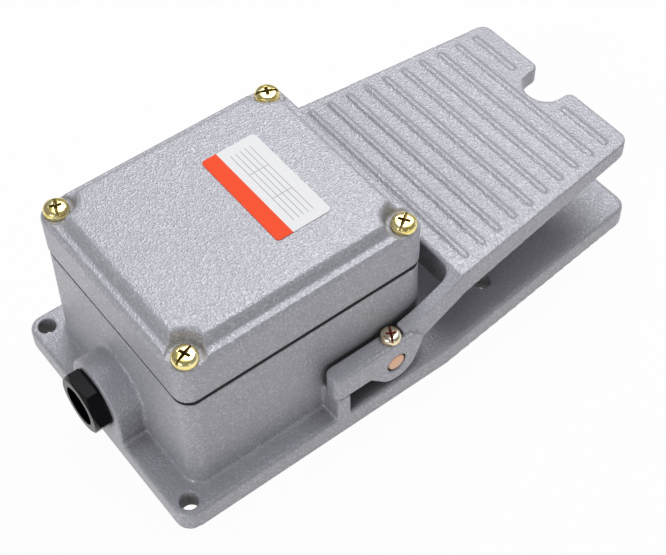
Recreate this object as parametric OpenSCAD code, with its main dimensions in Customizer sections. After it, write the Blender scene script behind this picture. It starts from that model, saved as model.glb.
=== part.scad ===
// Industrial foot switch: cast base with a switch box, a hinged treadle and the contact block inside.
// X runs from the cable gland to the treadle tip, Z is up, and Y = 0 is the plane of symmetry.
// Each module places its piece by the distance x from the rear end of the base plate; placed() then
// brings the whole to the origin, which is the middle of the footprint on the floor.

/* [Base plate] */
// Length of the base plate
plate_l = 215; // [205:1:240]
// Thickness of the base plate
plate_t = 9; // [8:0.5:11]
// Distance from the rear end at which the sides start to taper
taper_start = 118; // [112:1:130]
// Width of the plate at its front end
plate_front_w = 86; // [80:1:100]
// Corner radius of the plate
plate_r = 6; // [5:0.5:10]
// Depth of the hollow under the plate
hollow_depth = 3.8; // [2:0.1:4]
// Width of the rim around the hollow
rim_w = 9; // [8:0.5:12]
// Diameter of the mounting holes
mount_d = 6.6; // [4.5:0.1:7]
// Distance of the rear mounting holes from the plate's end and sides
mount_inset = 6; // [5.5:0.1:7]
// Distance of the front mounting holes from the rear end
front_mount_x = 145; // [140:1:160]
// Distance between the two front mounting holes
front_mount_w = 73; // [60:1:76]

/* [Switch box] */
// Distance of the box from the rear end of the plate
box_x = 10.4; // [10:0.1:14]
// Length of the box at its foot
box_l = 100.4; // [96:0.2:102]
// Width of the box at its foot
box_w = 87.8; // [84:0.2:92]
// Height of the box rim above the floor
box_h = 54; // [52:0.5:60]
// Wall thickness of the box
box_wall = 3.6; // [3:0.1:4.5]
// Corner radius of the box
box_r = 6; // [5.5:0.5:10]
// Draft of the end walls, from foot to rim
draft_end = 1; // [0.5:0.1:1.5]
// Draft of the side walls, from foot to rim
draft_side = 0.5; // [0.3:0.1:1]
// Radius of the cable boss
boss_r = 14.3; // [13:0.1:16]
// Height of the cable entry above the floor
gland_z = 22.5; // [21.5:0.5:26]

/* [Lid] */
// Thickness of the gasket
gasket_t = 1.6; // [0.8:0.1:2]
// Set-back of the gasket from the outer faces
gasket_inset = 1.8; // [0.5:0.1:2]
// Height from the lid's lower edge to the screw seats
lid_h = 16.7; // [16:0.1:20]
// Overhang of the lid over the box rim
lid_lap = 0.2; // [0:0.1:0.5]
// Wall thickness of the lid
lid_wall = 3.2; // [2.6:0.1:4]
// Height of the narrow ledge above the screw seats
ledge_h = 1.1; // [0.6:0.1:2]
// Distance from the lid's edge to the foot of the raised panel
ledge_w = 4; // [3:0.1:5]
// Height of the raised panel above the screw seats
panel_h = 5.5; // [4:0.1:7]
// Distance of the lid screws from the lid's ends
screw_inset_x = 6; // [5.6:0.1:7]
// Distance of the lid screws from the lid's sides
screw_inset_y = 5.3; // [5.2:0.1:6]
// Radius of the round pocket around each lid screw, at its floor
pocket_r = 6.4; // [6:0.1:7]
// Growth of the pocket's radius towards its lip
pocket_flare = 1; // [0:0.1:1.5]
// Length of the label, across the lid
label_l = 44; // [30:1:50]
// Width of the label
label_w = 22; // [15:1:30]
// Distance from the lid's rear end to the label
label_x = 53.6; // [40:0.2:56]

/* [Treadle] */
// Distance of the treadle tip behind the front end of the plate
tip_setback = 4; // [2:0.5:10]
// Width of the treadle at its tip
tip_w = 81; // [76:0.5:90]
// Distance of the fork from the front of the box
fork_gap = 9; // [8:0.1:12]
// Height of the treadle's top face above the floor, at the tip
tip_z = 45.9; // [44:0.1:50]
// Rise of the top face from the fork to the tip
tread_rise = 1.4; // [0:0.1:3]
// Depth of the skirt at the tip
skirt_tip = 7.3; // [6:0.1:8]
// Depth of the skirt at the fork
skirt_fork = 11.6; // [10:0.1:12.5]
// Thickness of the treadle's plate
tread_t = 3.6; // [3:0.1:4.5]
// Thickness of the skirt
skirt_t = 3.4; // [2.6:0.1:4.5]
// Corner radius of the tip
tip_r = 5; // [3:0.5:8]
// Radius of the round notch in the tip
notch_r = 8.7; // [6:0.1:10]
// Distance from the tip to the centre of the notch
notch_x = 4.6; // [3:0.1:6]
// Radius of the notch's two mouth corners
mouth_r = 3; // [2:0.1:4]
// Number of cross ribs
ribs = 10; // [6:1:10]
// Distance from the tip to the first rib
rib_first = 8.7; // [8:0.1:10]
// Distance from the last rib to the fork
rib_last = 7.8; // [7:0.1:12]
// Width of a rib
rib_w = 2.8; // [2:0.1:3.2]
// Height of a rib
rib_h = 0.8; // [0.4:0.1:1]

/* [Pivot] */
// Diameter of the pivot shaft
shaft_d = 8; // [7:0.5:9]
// Height of the pivot above the floor
shaft_z = 21; // [20.5:0.5:22]
// Distance of the pivot behind the front of the box
shaft_inset = 19.8; // [18:0.1:22]
// Gap between the box and the treadle's ears
ear_gap = 1.3; // [1:0.1:2]
// Thickness of the ears
ear_t = 7.3; // [6.5:0.1:9]
// Height of an ear's flat top above the pivot
ear_top = 10.7; // [10:0.1:12]
// Radius of an ear around the pivot
ear_r = 9; // [8.5:0.1:10]
// Radius of an ear's nose
nose_r = 5.9; // [5:0.1:6.5]
// Height of the stop posts above the floor
stop_z = 20.4; // [19:0.1:21]
// Distance from the pivot back to the stop posts
stop_x = 26.1; // [24:0.1:30]
// Length of a stop post along the plate
stop_l = 5.5; // [4:0.1:8]
// Thickness of the arms between fork and ears
arm_t = 5; // [4:0.1:5.2]

/* [Contact block] */
// Distance from the pivot to the push rod
lever_l = 30; // [28:0.5:34]
// Radius of the push rod
rod_r = 3; // [2.5:0.1:3.5]
// Lift of the push rod when the treadle is fully down
rod_lift = 5.42; // [4.5:0.01:6]
// Distance from the box rim down to the bracket's table
table_drop = 6; // [4:0.5:8]
// Thickness of the bracket's sheet
sheet_t = 1.5; // [1:0.1:2]
// Length of the contact block
block_l = 28; // [26:0.5:32]
// Width of the contact block
block_w = 26; // [24:0.5:30]

/* [Hidden] */
$fn = 96;
hull_fn = 32;
thin = 0.05;
over = 1;

// clearances
fit = 0.03;
running = 0.05;
screw_play = 0.05;
air = 0.3;

// finish radii of the castings
edge_r = 1.2;
taper_r = 40;
fork_side_r = 30;
fork_r = 4;
hollow_r = 5;

// metric screws: thread diameter, head diameter and head height
m3 = [3, 5.6, 2];
m4 = [4, 7.6, 2.8];
m5 = [5, 9, 3.2];

// plan of the box, the lid and the plate
rim_l = box_l - 2 * draft_end;
rim_wd = box_w - 2 * draft_side;
lid_l = rim_l + 2 * lid_lap;
lid_w = rim_wd + 2 * lid_lap;
box_mid = box_x + box_l / 2;
box_front = box_x + box_l;
ear_in = box_w / 2 + ear_gap;
ear_out = ear_in + ear_t;
plate_w = 2 * ear_out;
plate_half = plate_w / 2;
lid_z = box_h + gasket_t;
seat_z = lid_z + lid_h;
panel_z = seat_z + panel_h;
screw_x = lid_l / 2 - screw_inset_x;
screw_y = lid_w / 2 - screw_inset_y;
column_r = 4.6;
gasket_ear_r = 3.4;
screw_l = 27;
screw_hole = m5[0] + 0.5;
lip_r = 1.6;
pocket_top = pocket_r + pocket_flare + lip_r;
boss_screw_r = 5;

// cable gland
hex_side = 12.4;
hex_t = 5.4;
washer_t = 0.9;
washer_r = 10.8;
gland_r = 10;
gland_bore = 7.5;
gland_in = 4;
grommet_l = 6;
grommet_r = 8.5;
grommet_bore = 5;
gland_out = hex_t + washer_t;
gland_end = box_x + box_wall + gland_in;

// pivot and treadle
shaft_x = box_front - shaft_inset;
fork_x = box_front + fork_gap;
tip_x = plate_l - tip_setback;
arm_out = ear_in + 0.6 + arm_t;
arm_in = arm_out - arm_t;
clamp_y = ear_in + 3.2;
tread_slope = tread_rise / (tip_x - fork_x);
nose_x = shaft_x + 5.6;
nose_z = shaft_z + ear_top - nose_r;
ear_end = shaft_x - stop_x - 0.9;
ear_end_r = 3;
ear_bar = 2.6;
arm_start = 4.2;
rib_pitch = (tip_x - fork_x - rib_first - rib_last) / (ribs - 1);
rib_inset = 4.2;
shaft_end = 1.4;
shaft_chamfer = 0.5;
bush_r = 6;
bush_l = 9;
bush_boss_r = 10;
seal_r = (bush_r - shaft_d / 2 - running) / 2;
seal_depth = 2.6;
boss_in = 9.2;

// lever, rod and block
hub_r = 9;
hub_l = 16;
pad_top = 3;
arm_w = 12;
arm_thick = 6;
rod_x = shaft_x - lever_l;
table_z = box_h - table_drop;
rod_z = shaft_z + pad_top + air;
collar_r = 8;
collar_t = 2;
collar_z = rod_z + 5;
spring_wire = 0.7;
spring_r = 5.6;
spring_turns = 6;
foot_z = plate_t + 3;
bracket_l = 44;
bracket_w = 42;
foot_w = 13;
block_z = table_z + sheet_t;
block_wall = 4;
floor_t = 2.5;
strip_t = 1;
strip_w = 7;
strip_out = 26;
nc_z = block_z + 5.5;
no_z = nc_z + 2 * strip_t + rod_lift + air;
block_top = no_z + strip_t + 2.4;
cover_t = 2.4;
carrier_r = 4.6;
carrier_cap = 2;
waist_w = 5;
waist_l = 10;
bridge_l = 2 * (block_l / 2 - block_wall) - 1;
bridge_w = 18;
wing_x = strip_out + 2;
block_hole_x = block_l / 2 - 2.6;
block_hole_y = block_w / 2 - 2.2;
short_screw = 6;
earth_t = 0.8;
tapped_depth = 7;
terminal_l = 5;
earth_at = [box_x + box_wall + 13.4, -24];

function unit(v) = v / norm(v);

// centre of the circle that touches the lines a-b and b-c near the corner b
function corner_centre(a, b, c, r) =
    let (u = unit(a - b), w = unit(c - b), half = acos(u * w) / 2)
    b + unit(u + w) * r / sin(half);

// point of the line a-b that is nearest to p
function foot_on(a, b, p) = let (u = unit(b - a)) a + u * ((p - a) * u);

// height of the treadle's top face at a distance x
function tread_z(x) = tip_z - (tip_x - x) * tread_slope;

// half the width of the treadle at a distance x
function tread_half(x) = tip_w / 2 + (arm_out - tip_w / 2) * (tip_x - x) / (tip_x - fork_x);

module placed() translate([-(plate_l - gland_out) / 2, 0, 0]) children();

module both_sides() {
    children();
    mirror([0, 1, 0]) children();
}

// centres of the rounds at the corners of a convex outline
function round_centres(points, radii) =
    let (n = len(points))
    [for (i = [0:n - 1])
        corner_centre(points[(i + n - 1) % n], points[i], points[(i + 1) % n], radii[i])];

// convex outline with a round at each corner
module rounded(points, radii) {
    n = len(points);
    centres = round_centres(points, radii);
    polygon([for (i = [0:n - 1]) each
        [foot_on(points[(i + n - 1) % n], points[i], centres[i]),
            foot_on(points[i], points[(i + 1) % n], centres[i])]]);
    for (i = [0:n - 1])
        translate(centres[i]) circle(radii[i]);
}

function rect_corners(l, w) = [[-l / 2, -w / 2], [l / 2, -w / 2], [l / 2, w / 2], [-l / 2, w / 2]];

module round_rect(l, w, r)
    rounded(rect_corners(l, w), [r, r, r, r]);

// four corner rounds between z and z + thin; a hull over several sets makes a rounded block
module corner_rounds(l, w, r, z)
    for (corner = rect_corners(l - 2 * r, w - 2 * r))
        translate([corner[0], corner[1], z]) cylinder(r = r, h = thin, $fn = hull_fn);

// pan head and plain shank, with the underside of the head at the origin and the shank downwards
module pan_screw(size, length) {
    dome = size[1] * 0.9;
    difference() {
        union() {
            translate([0, 0, -length]) cylinder(d = size[0] - 2 * screw_play, h = length + size[2] / 2);
            intersection() {
                cylinder(d = size[1], h = size[2]);
                translate([0, 0, size[2] - dome]) sphere(dome);
            }
        }
        for (turn = [45, 135])
            rotate(turn) translate([0, 0, size[2]])
                cube([size[1] / 2, size[0] / 5, size[2]], center = true);
        rotate(45) translate([0, 0, size[2]])
            cube([size[1] + over, size[0] / 5, size[2] * 0.7], center = true);
    }
}

// helical wire of radius w, mean radius r, from z0 to z1
module coil(r, w, z0, z1, turns, sides = 8, steps = 16) {
    n = turns * steps;
    rise = (z1 - z0 - 2 * w) / n;
    ring = [for (i = [0:n]) for (k = [0:sides - 1])
        let (a = 360 * i / steps, b = 360 * k / sides, q = r + w * cos(b))
        [q * cos(a), q * sin(a), z0 + w + rise * i + w * sin(b)]];
    walls = [for (i = [0:n - 1]) for (k = [0:sides - 1])
        let (m = (k + 1) % sides)
        [i * sides + k, i * sides + m, (i + 1) * sides + m, (i + 1) * sides + k]];
    caps = [[for (k = [sides - 1:-1:0]) k], [for (k = [0:sides - 1]) n * sides + k]];
    polyhedron(ring, concat(walls, caps));
}

// ---- castings ----

// base plate with a rounded upper edge
module plate_body() {
    radii = [plate_r, taper_r, plate_r, plate_r, taper_r, plate_r];
    centres = round_centres([[0, -plate_half], [taper_start, -plate_half], [plate_l, -plate_front_w / 2],
        [plate_l, plate_front_w / 2], [taper_start, plate_half], [0, plate_half]], radii);
    hull()
        for (layer = concat([[0, 0]], [for (a = [0:30:90])
            [plate_t - thin - edge_r * (1 - sin(a)), edge_r * (1 - cos(a))]]), i = [0:len(radii) - 1])
            translate([centres[i][0], centres[i][1], layer[0]])
                cylinder(r = radii[i] - layer[1], h = thin, $fn = hull_fn);
}

module lid_screw_places()
    for (sx = [-1, 1], sy = [-1, 1])
        translate([box_mid + sx * screw_x, sy * screw_y, 0]) children();

module mount_places() {
    for (side = [-1, 1]) {
        translate([mount_inset, side * (plate_half - mount_inset), 0]) children();
        translate([front_mount_x, side * front_mount_w / 2, 0]) children();
    }
}

module bracket_screw_places()
    for (sx = [-1, 1], sy = [-1, 1])
        translate([rod_x + sx * (bracket_l / 2 - 8), sy * (bracket_w / 2 + foot_w / 2), 0]) children();

// the bracket's four screws and the earth screw
module inner_screw_places() {
    bracket_screw_places() children();
    translate([earth_at[0], earth_at[1], 0]) children();
}

module box_shell()
    translate([box_mid, 0, 0]) hull() {
        corner_rounds(box_l, box_w, box_r, plate_t - over);
        corner_rounds(rim_l, rim_wd, box_r, box_h - thin);
    }

module box_cavity()
    translate([box_mid, 0, 0]) hull() {
        corner_rounds(box_l - 2 * box_wall, box_w - 2 * box_wall, box_r - box_wall, plate_t);
        corner_rounds(rim_l - 2 * box_wall, rim_wd - 2 * box_wall, box_r - box_wall, box_h + thin);
    }

module cable_boss() {
    translate([0, 0, gland_z]) rotate([0, 90, 0]) cylinder(r = boss_r, h = box_x + box_wall);
    translate([0, -boss_r, plate_t - over]) cube([box_x + box_wall, 2 * boss_r, gland_z - plate_t + over]);
}

module base_casting() {
    wall_y = box_w / 2 - draft_side;
    color("#9a9aa2") difference() {
        union() {
            difference() {
                union() {
                    plate_body();
                    box_shell();
                    cable_boss();
                }
                box_cavity();
            }
            intersection() {
                lid_screw_places() cylinder(r = column_r, h = box_h);
                translate([box_x + over, over - box_w / 2, 0])
                    cube([box_l - 2 * over, box_w - 2 * over, box_h]);
            }
            both_sides() {
                translate([shaft_x, wall_y - boss_in, shaft_z]) rotate([-90, 0, 0])
                    cylinder(r = bush_boss_r, h = boss_in - over);
                translate([shaft_x - stop_x, wall_y - over, plate_t - over])
                    cube([stop_l, plate_half - wall_y + over, stop_z - plate_t + over]);
            }
            inner_screw_places() translate([0, 0, plate_t - over])
                cylinder(r = boss_screw_r, h = foot_z - plate_t + over);
        }
        hollow_fields();
        mount_places() translate([0, 0, -over]) cylinder(d = mount_d, h = plate_t + 2 * over);
        lid_screw_places() translate([0, 0, seat_z - screw_l - air]) cylinder(d = m5[0], h = screw_l);
        inner_screw_places() translate([0, 0, foot_z - tapped_depth]) cylinder(d = m4[0], h = tapped_depth + over);
        translate([-over, 0, gland_z]) rotate([0, 90, 0])
            cylinder(r = gland_r + fit, h = box_x + box_wall + 2 * over);
        both_sides() translate([shaft_x, 0, shaft_z]) rotate([-90, 0, 0])
            cylinder(r = bush_r + fit, h = plate_half);
    }
}

// fields of the underside: one under the box, two in front of it
module hollow_fields() {
    front_half = min(plate_front_w / 2 - rim_w, (front_mount_w - mount_d) / 2 - 3);
    translate([(rim_w + 6 + taper_start - 3) / 2, 0])
        linear_extrude(2 * hollow_depth, center = true)
            round_rect(taper_start - 9 - rim_w, box_w - 2 * rim_w, hollow_r);
    for (side = [-1, 1])
        translate([(taper_start + 3 + plate_l - rim_w) / 2, side * (front_half + 3) / 2])
            linear_extrude(2 * hollow_depth, center = true)
                round_rect(plate_l - rim_w - taper_start - 3, front_half - 3, hollow_r);
}

// body through outlines of the lid, each [height, inset from the lid's edge]
module lid_layers(layers)
    hull()
        for (layer = layers)
            translate([box_mid, 0, layer[0]]) linear_extrude(thin)
                round_rect(lid_l - 2 * layer[1], lid_w - 2 * layer[1], max(box_r - layer[1], 1.5), $fn = hull_fn);

module lid()
    color("#b4b4bb") difference() {
        union() {
            lid_layers([[lid_z, 0], [seat_z - edge_r, 0], [seat_z - 0.35 * edge_r, 0.3 * edge_r],
                [seat_z + ledge_h - thin, edge_r]]);
            lid_layers([[seat_z, ledge_w], [seat_z + ledge_h, ledge_w], [seat_z + ledge_h + 1.5, ledge_w + 1]]);
            lid_layers([[seat_z, ledge_w + 0.6], [panel_z - edge_r, ledge_w + 1.4],
                [panel_z - 0.35 * edge_r, ledge_w + 1.8], [panel_z - thin, ledge_w + 2.6]]);
        }
        // inside, with a column left round each screw and a wall behind each pocket
        difference() {
            union() {
                lid_layers([[lid_z - over, lid_wall], [seat_z - lid_wall, lid_wall + 1]]);
                lid_layers([[seat_z - lid_wall - over, ledge_w + lid_wall + 1.5],
                    [panel_z - lid_wall, ledge_w + lid_wall + 2.5]]);
            }
            lid_screw_places() {
                translate([0, 0, lid_z]) cylinder(r = column_r, h = lid_h);
                translate([0, 0, seat_z - lid_wall]) cylinder(r = pocket_top + lid_wall / 2, h = panel_h);
            }
        }
        lid_screw_places() {
            translate([0, 0, seat_z]) screw_pocket();
            translate([0, 0, lid_z - over]) cylinder(d = screw_hole, h = lid_h + 2 * over);
        }
    }

// flared pocket with a rounded lip
module screw_pocket() {
    lip = [pocket_top, panel_h - lip_r];
    rotate_extrude() polygon(concat([[0, 0], [pocket_r, 0]], arc(lip, lip_r, 180, 90),
        [[pocket_top + over, panel_h], [pocket_top + over, panel_h + over], [0, panel_h + over]]));
}

module lid_gasket()
    color("#17171a") difference() {
        union() {
            translate([box_mid, 0, box_h]) linear_extrude(gasket_t) difference() {
                round_rect(rim_l - 2 * gasket_inset, rim_wd - 2 * gasket_inset, box_r - gasket_inset);
                round_rect(rim_l - 2 * box_wall, rim_wd - 2 * box_wall, box_r - box_wall);
            }
            lid_screw_places() translate([0, 0, box_h]) cylinder(r = gasket_ear_r, h = gasket_t);
        }
        lid_screw_places() translate([0, 0, box_h - over]) cylinder(d = screw_hole, h = gasket_t + 2 * over);
    }

module lid_screws()
    color("#d8c25a") lid_screw_places() translate([0, 0, seat_z]) pan_screw(m5, screw_l);

module nameplate()
    color("#f2f2f0") translate([box_mid - lid_l / 2 + label_x + label_w / 2, 0, panel_z])
        linear_extrude(0.3) round_rect(label_w, label_l, 1.5);

// ---- cable gland ----

module gland_body()
    color("#1c1c20") translate([0, 0, gland_z]) rotate([0, 90, 0]) difference() {
        union() {
            translate([0, 0, -gland_out]) intersection() {
                rotate(90) cylinder(r = hex_side, h = hex_t, $fn = 6);
                rotate_extrude() polygon([[0, 0], [hex_side * 0.83, 0], [hex_side * 1.02, hex_side * 0.11],
                    [hex_side * 1.02, hex_t], [0, hex_t]]);
            }
            translate([0, 0, -washer_t - thin]) cylinder(r = gland_r, h = gland_end + washer_t + thin);
        }
        translate([0, 0, -gland_out - over])
            cylinder(r = gland_bore, h = gland_out + gland_end + 2 * over);
        translate([0, 0, gland_end - grommet_l]) cylinder(r = grommet_r + fit, h = grommet_l + over);
    }

module gland_washer()
    color("#26262a") translate([-washer_t, 0, gland_z]) rotate([0, 90, 0]) difference() {
        cylinder(r = washer_r, h = washer_t);
        translate([0, 0, -over]) cylinder(r = gland_r + fit, h = washer_t + 2 * over);
    }

module gland_grommet()
    color("#101012") translate([gland_end - grommet_l, 0, gland_z]) rotate([0, 90, 0]) difference() {
        cylinder(r = grommet_r, h = grommet_l);
        translate([0, 0, -over]) cylinder(r = grommet_bore, h = grommet_l + 2 * over);
        translate([0, 0, -thin]) cylinder(r1 = grommet_bore + 1.6, r2 = grommet_bore, h = 1.6);
    }

// ---- treadle ----

module tread_plan()
    rounded([[shaft_x + 2, -arm_out], [fork_x, -arm_out], [tip_x, -tip_w / 2],
        [tip_x, tip_w / 2], [fork_x, arm_out], [shaft_x + 2, arm_out]],
        [1, fork_side_r, tip_r, tip_r, fork_side_r, 1]);

// side view of the skirts and arms; the bottom line falls to the pivot behind the fork
module side_view()
    polygon([[tip_x + over, tread_z(tip_x + over)], [fork_x + 1.8, tread_z(fork_x + 1.8)],
        [shaft_x + arm_start, shaft_z + 16.3], [shaft_x + arm_start, shaft_z],
        [nose_x, shaft_z - 3], [shaft_x + 13.5, shaft_z + 2.4], [fork_x + 2.4, tread_z(fork_x) - skirt_fork],
        [tip_x + over, tip_z - skirt_tip]]);

// points of an arc about a centre, every ten degrees or closer
function arc(centre, r, a0, a1) =
    let (n = ceil(abs(a1 - a0) / 10))
    [for (i = [0:n]) centre + r * [cos(a0 + (a1 - a0) * i / n), sin(a0 + (a1 - a0) * i / n)]];

// side view of an ear: a bar that rests on the post, a round about the pivot and a nose in front
module ear_view() {
    pivot = [shaft_x, shaft_z];
    nose = [nose_x, nose_z];
    lean = atan2(nose_z - shaft_z, nose_x - shaft_x) - acos((ear_r - nose_r) / norm(nose - pivot));
    polygon(concat([[ear_end, stop_z], [shaft_x - ear_r - ear_bar, stop_z]], arc(pivot, ear_r, -145, lean),
        arc(nose, nose_r, lean, 90), [[ear_end, shaft_z + ear_top]]));
}

module upright(y0, y1) translate([0, y1, 0]) rotate([90, 0, 0]) linear_extrude(y1 - y0) children();

module notch() {
    centre = tip_x - notch_x;
    translate([centre, 0, 0]) cylinder(r = notch_r, h = tip_z + 10);
    translate([centre, -notch_r, 0]) cube([notch_x + over, 2 * notch_r, tip_z + 10]);
    // rounded mouth
    both_sides() difference() {
        translate([tip_x - mouth_r, notch_r - thin, 0]) cube([mouth_r + over, mouth_r + thin, tip_z + 10]);
        translate([tip_x - mouth_r, notch_r + mouth_r, -over]) cylinder(r = mouth_r, h = tip_z + 12);
    }
}

// cross ribs, half round in section and at the ends; those that meet the notch are split in two
module cross_ribs()
    for (i = [0:ribs - 1]) {
        x = tip_x - rib_first - i * rib_pitch;
        reach = tread_half(x) - rib_inset;
        if (abs(tip_x - notch_x - x) < notch_r)
            both_sides() rib(x, notch_r + rib_inset, reach);
        else
            rib(x, -reach, reach);
    }

// a rib from y0 to y1, sunk so that it stands out by its height
module rib(x, y0, y1) {
    round_r = (rib_w * rib_w / 4 + rib_h * rib_h) / (2 * rib_h);
    translate([x, 0, tread_z(x) + rib_h - round_r]) {
        translate([0, y0 + rib_w / 2, 0]) rotate([-90, 0, 0]) cylinder(r = round_r, h = y1 - y0 - rib_w);
        for (end = [y0, y1 - rib_w])
            translate([0, end + rib_w / 2, 0]) sphere(round_r);
    }
}

module treadle() {
    color("#a6a6ae") difference() {
        union() {
            tread_body();
            cross_ribs();
            both_sides() intersection() {
                upright(ear_in, ear_out) ear_view();
                linear_extrude(tip_z) ear_plan();
            }
        }
        notch();
        translate([shaft_x, -plate_half - over, shaft_z]) rotate([-90, 0, 0])
            cylinder(d = shaft_d + 2 * fit, h = plate_w + 2 * over);
        clamp_places() cylinder(d = m4[0], h = ear_top + over);
    }
}

// an ear from above, with a round rear end
module ear_plan()
    rounded([[ear_end, ear_in], [nose_x + nose_r + over, ear_in], [nose_x + nose_r + over, ear_out],
        [ear_end, ear_out]], [ear_end_r, 0.5, 0.5, ear_end_r]);

// plate, skirt and arms, open below and cut out for the box
module tread_body()
    difference() {
        intersection() {
            linear_extrude(tip_z + over) tread_plan();
            upright(-plate_half, plate_half) side_view();
        }
        difference() {
            translate([tip_x, 0, tip_z]) rotate([0, -atan(tread_slope), 0]) translate([-tip_x, 0, -tip_z])
                linear_extrude(tip_z - tread_t) underside_plan();
            translate([tip_x - notch_x, 0, 0]) cylinder(r = notch_r + skirt_t, h = tip_z);
            for (side = [-1, 1])
                translate([0, side * tip_w / 5 - 1.5, 0]) cube([plate_l, 3, tip_z]);
        }
        translate([0, 0, -over]) linear_extrude(tip_z + 10) fork_plan();
    }

module underside_plan()
    rounded([[fork_x + skirt_t, -tread_half(fork_x + skirt_t) + skirt_t],
        [tip_x - skirt_t, skirt_t - tread_half(tip_x - skirt_t)],
        [tip_x - skirt_t, tread_half(tip_x - skirt_t) - skirt_t],
        [fork_x + skirt_t, tread_half(fork_x + skirt_t) - skirt_t]], [2, 2, 2, 2]);

// the box's clearance between the arms
module fork_plan()
    translate([fork_x / 2, 0]) round_rect(fork_x, 2 * arm_in, fork_r);

module pivot_shaft()
    color("#c9a37c") translate([shaft_x, 0, shaft_z]) rotate([-90, 0, 0]) {
        half = ear_out - shaft_end - shaft_chamfer;
        cylinder(d = shaft_d, h = 2 * half, center = true);
        for (end = [0, 180])
            rotate([end, 0, 0]) translate([0, 0, half])
                cylinder(r1 = shaft_d / 2, r2 = shaft_d / 2 - shaft_chamfer, h = shaft_chamfer);
    }

module clamp_places()
    both_sides() translate([shaft_x, clamp_y, shaft_z]) children();

module clamp_screws()
    color("#cbb055") clamp_places() translate([0, 0, ear_top])
        pan_screw(m4, ear_top - shaft_d / 2 - screw_play);

// ---- shaft bearings ----

module shaft_bushes()
    color("#b08d57") both_sides() translate([shaft_x, ear_in - ear_gap - seal_depth, shaft_z]) rotate([90, 0, 0])
        difference() {
            cylinder(r = bush_r, h = bush_l);
            translate([0, 0, -over]) cylinder(d = shaft_d + 2 * running, h = bush_l + 2 * over);
        }

module shaft_seals()
    color("#202024") both_sides() translate([shaft_x, ear_in - ear_gap - seal_depth + seal_r + fit, shaft_z])
        rotate([90, 0, 0]) rotate_extrude() translate([shaft_d / 2 + running + seal_r, 0]) circle(seal_r, $fn = 48);

// ---- mechanism ----

module drive_lever()
    color("#8d9096") difference() {
        union() {
            translate([shaft_x, -hub_l / 2, shaft_z]) rotate([-90, 0, 0]) cylinder(r = hub_r, h = hub_l);
            translate([rod_x - arm_w / 2, -arm_w / 2, shaft_z + pad_top - arm_thick])
                cube([lever_l + arm_w / 2, arm_w, arm_thick]);
            translate([rod_x, 0, shaft_z + pad_top - arm_thick]) translate([-arm_w / 2, 0, 0])
                cylinder(d = arm_w, h = arm_thick);
        }
        translate([shaft_x, -hub_l, shaft_z]) rotate([-90, 0, 0]) cylinder(d = shaft_d + 2 * fit, h = 2 * hub_l);
        translate([shaft_x, 0, shaft_z]) cylinder(d = m5[0], h = 2 * hub_r);
    }

module lever_set_screw()
    color("#55575c") translate([shaft_x, 0, shaft_z + shaft_d / 2 + screw_play]) difference() {
        cylinder(d = m5[0] - 2 * screw_play, h = hub_r - shaft_d / 2 - air);
        translate([0, 0, 2.2]) cylinder(d = 2.9, h = hub_r, $fn = 6);
    }

// steel rod with a round nose that rests over the lever's pad
module push_rod()
    color("#b9bcc2") translate([rod_x, 0, rod_z]) rotate_extrude() {
        intersection() {
            translate([0, rod_r]) circle(rod_r);
            square([rod_r, rod_r]);
        }
        translate([0, rod_r]) square([rod_r, nc_z - rod_z - rod_r]);
    }

module spring_seat()
    color("#777a80") translate([rod_x, 0, collar_z]) difference() {
        union() {
            cylinder(r = collar_r, h = collar_t);
            cylinder(r = spring_r - spring_wire - air, h = collar_t + 2);
        }
        translate([0, 0, -over]) cylinder(r = rod_r + fit, h = collar_t + 4);
    }

module return_spring()
    color("#c4c7cc") translate([rod_x, 0, 0])
        coil(spring_r, spring_wire, collar_z + collar_t, table_z, spring_turns);

module switch_bracket()
    color("#a9adb3") difference() {
        union() {
            translate([rod_x - bracket_l / 2, -bracket_w / 2, table_z]) cube([bracket_l, bracket_w, sheet_t]);
            both_sides() {
                translate([rod_x - bracket_l / 2, bracket_w / 2 - sheet_t, foot_z])
                    cube([bracket_l, sheet_t, table_z - foot_z + thin]);
                translate([rod_x - bracket_l / 2, bracket_w / 2 - sheet_t, foot_z])
                    cube([bracket_l, foot_w + sheet_t, sheet_t]);
            }
        }
        translate([rod_x, 0, table_z - over]) cylinder(r = rod_r + running, h = sheet_t + 2 * over);
        bracket_screw_places() translate([0, 0, foot_z - over]) cylinder(d = m4[0] + 0.5, h = sheet_t + 2 * over);
        block_screw_places() translate([0, 0, table_z - over]) cylinder(d = m3[0], h = sheet_t + 2 * over);
    }

module bracket_screws()
    color("#c9b456") bracket_screw_places() translate([0, 0, foot_z + sheet_t]) pan_screw(m4, short_screw);

module block_screw_places()
    for (sx = [-1, 1], sy = [-1, 1])
        translate([rod_x + sx * block_hole_x, sy * block_hole_y, 0]) children();

// moulded base of the contact block: a chamber between two stepped wings that carry the contacts
module block_base()
    color("#3a2a22") difference() {
        union() {
            translate([rod_x - block_l / 2, -block_w / 2, block_z]) cube([block_l, block_w, block_top - block_z]);
            for (end = [0, 1])
                translate([rod_x, 0, 0]) mirror([end, 0, 0]) {
                    translate([block_l / 2 - thin, -block_w / 2, block_z])
                        cube([wing_x - block_l / 2, block_w / 2, nc_z - block_z]);
                    translate([block_l / 2 - thin, -thin, block_z])
                        cube([wing_x - block_l / 2, block_w / 2 + thin, no_z - block_z]);
                }
        }
        translate([rod_x - block_l / 2 + block_wall, -bridge_w / 2 - 0.5, block_z + floor_t])
            cube([block_l - 2 * block_wall, bridge_w + 1, block_top]);
        translate([rod_x, 0, block_z - over]) cylinder(r = rod_r + running, h = floor_t + 2 * over);
        // slots for the contact strips
        strip_slots(nc_z, -1);
        strip_slots(no_z, 1);
        block_screw_places() translate([0, 0, block_z - over]) cylinder(d = m3[0] + 0.2, h = block_top);
        // terminal screw holes
        terminal_places() translate([0, 0, -terminal_l]) cylinder(d = m3[0], h = terminal_l + over);
    }

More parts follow.
